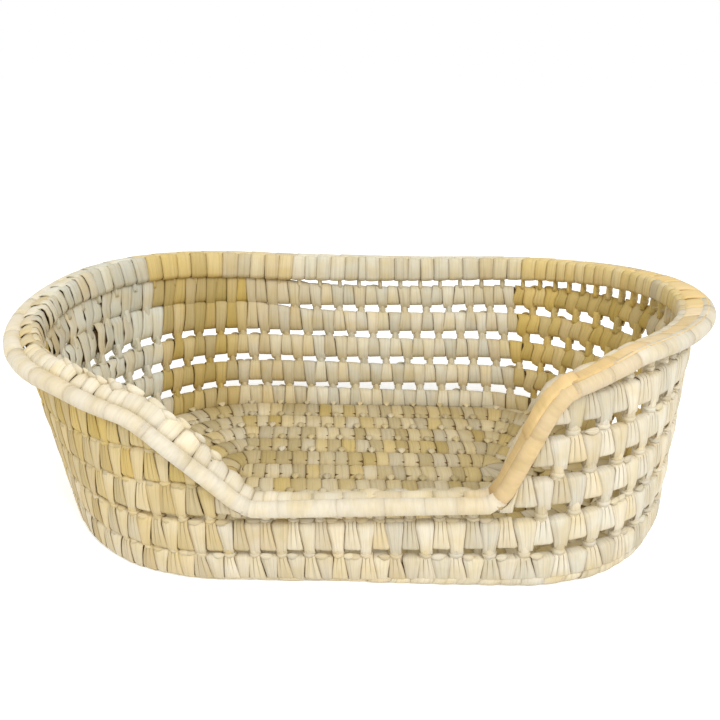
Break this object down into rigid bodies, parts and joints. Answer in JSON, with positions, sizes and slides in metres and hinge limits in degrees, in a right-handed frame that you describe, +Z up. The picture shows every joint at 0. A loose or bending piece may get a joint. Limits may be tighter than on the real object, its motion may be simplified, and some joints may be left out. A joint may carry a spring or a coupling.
{
  "type": "pet bed basket",
  "caption": "Oval pet bed basket coiled from wrapped palm-leaf bundles, with a leaning openwork wall, a rolled rim and a low front entrance.",
  "frame": {"origin": "middle of the base's underside, on the floor", "axes": "+Z up, +X along the length, low entrance towards -Y"},
  "size_m": [0.5782, 0.3705, 0.1854],
  "materials": {
    "wrap_strip": "dried palm strip, matt to satin",
    "core_bundle": "bundled split palm leaf, matt",
    "knot_strip": "folded palm strip, matt",
    "rim_strip": "broad palm strip, satin"
  },
  "bodies": {
    "root": {"base_core": "core_bundle", "base_wrap": "wrap_strip", "base_tail": "wrap_strip", "base_ties": "knot_strip", "foot_ties": "knot_strip", "row_1_core": "core_bundle", "row_2_core": "core_bundle", "row_3_core": "core_bundle", "row_4_core": "core_bundle", "row_5_core": "core_bundle", "row_1_wrap": "wrap_strip", "row_2_wrap": "wrap_strip", "row_3_wrap": "wrap_strip", "row_4_wrap": "wrap_strip", "row_5_wrap": "wrap_strip", "knots_1_2": "knot_strip", "knots_2_3": "knot_strip", "knots_3_4": "knot_strip", "knots_4_5": "knot_strip", "lip_knots": "knot_strip", "rim_knots": "knot_strip", "edge_core": "core_bundle", "edge_wrap": "wrap_strip", "roll_core": "core_bundle", "roll_wrap": "rim_strip", "rim_lashings": "knot_strip"}
  },
  "joints": []
}
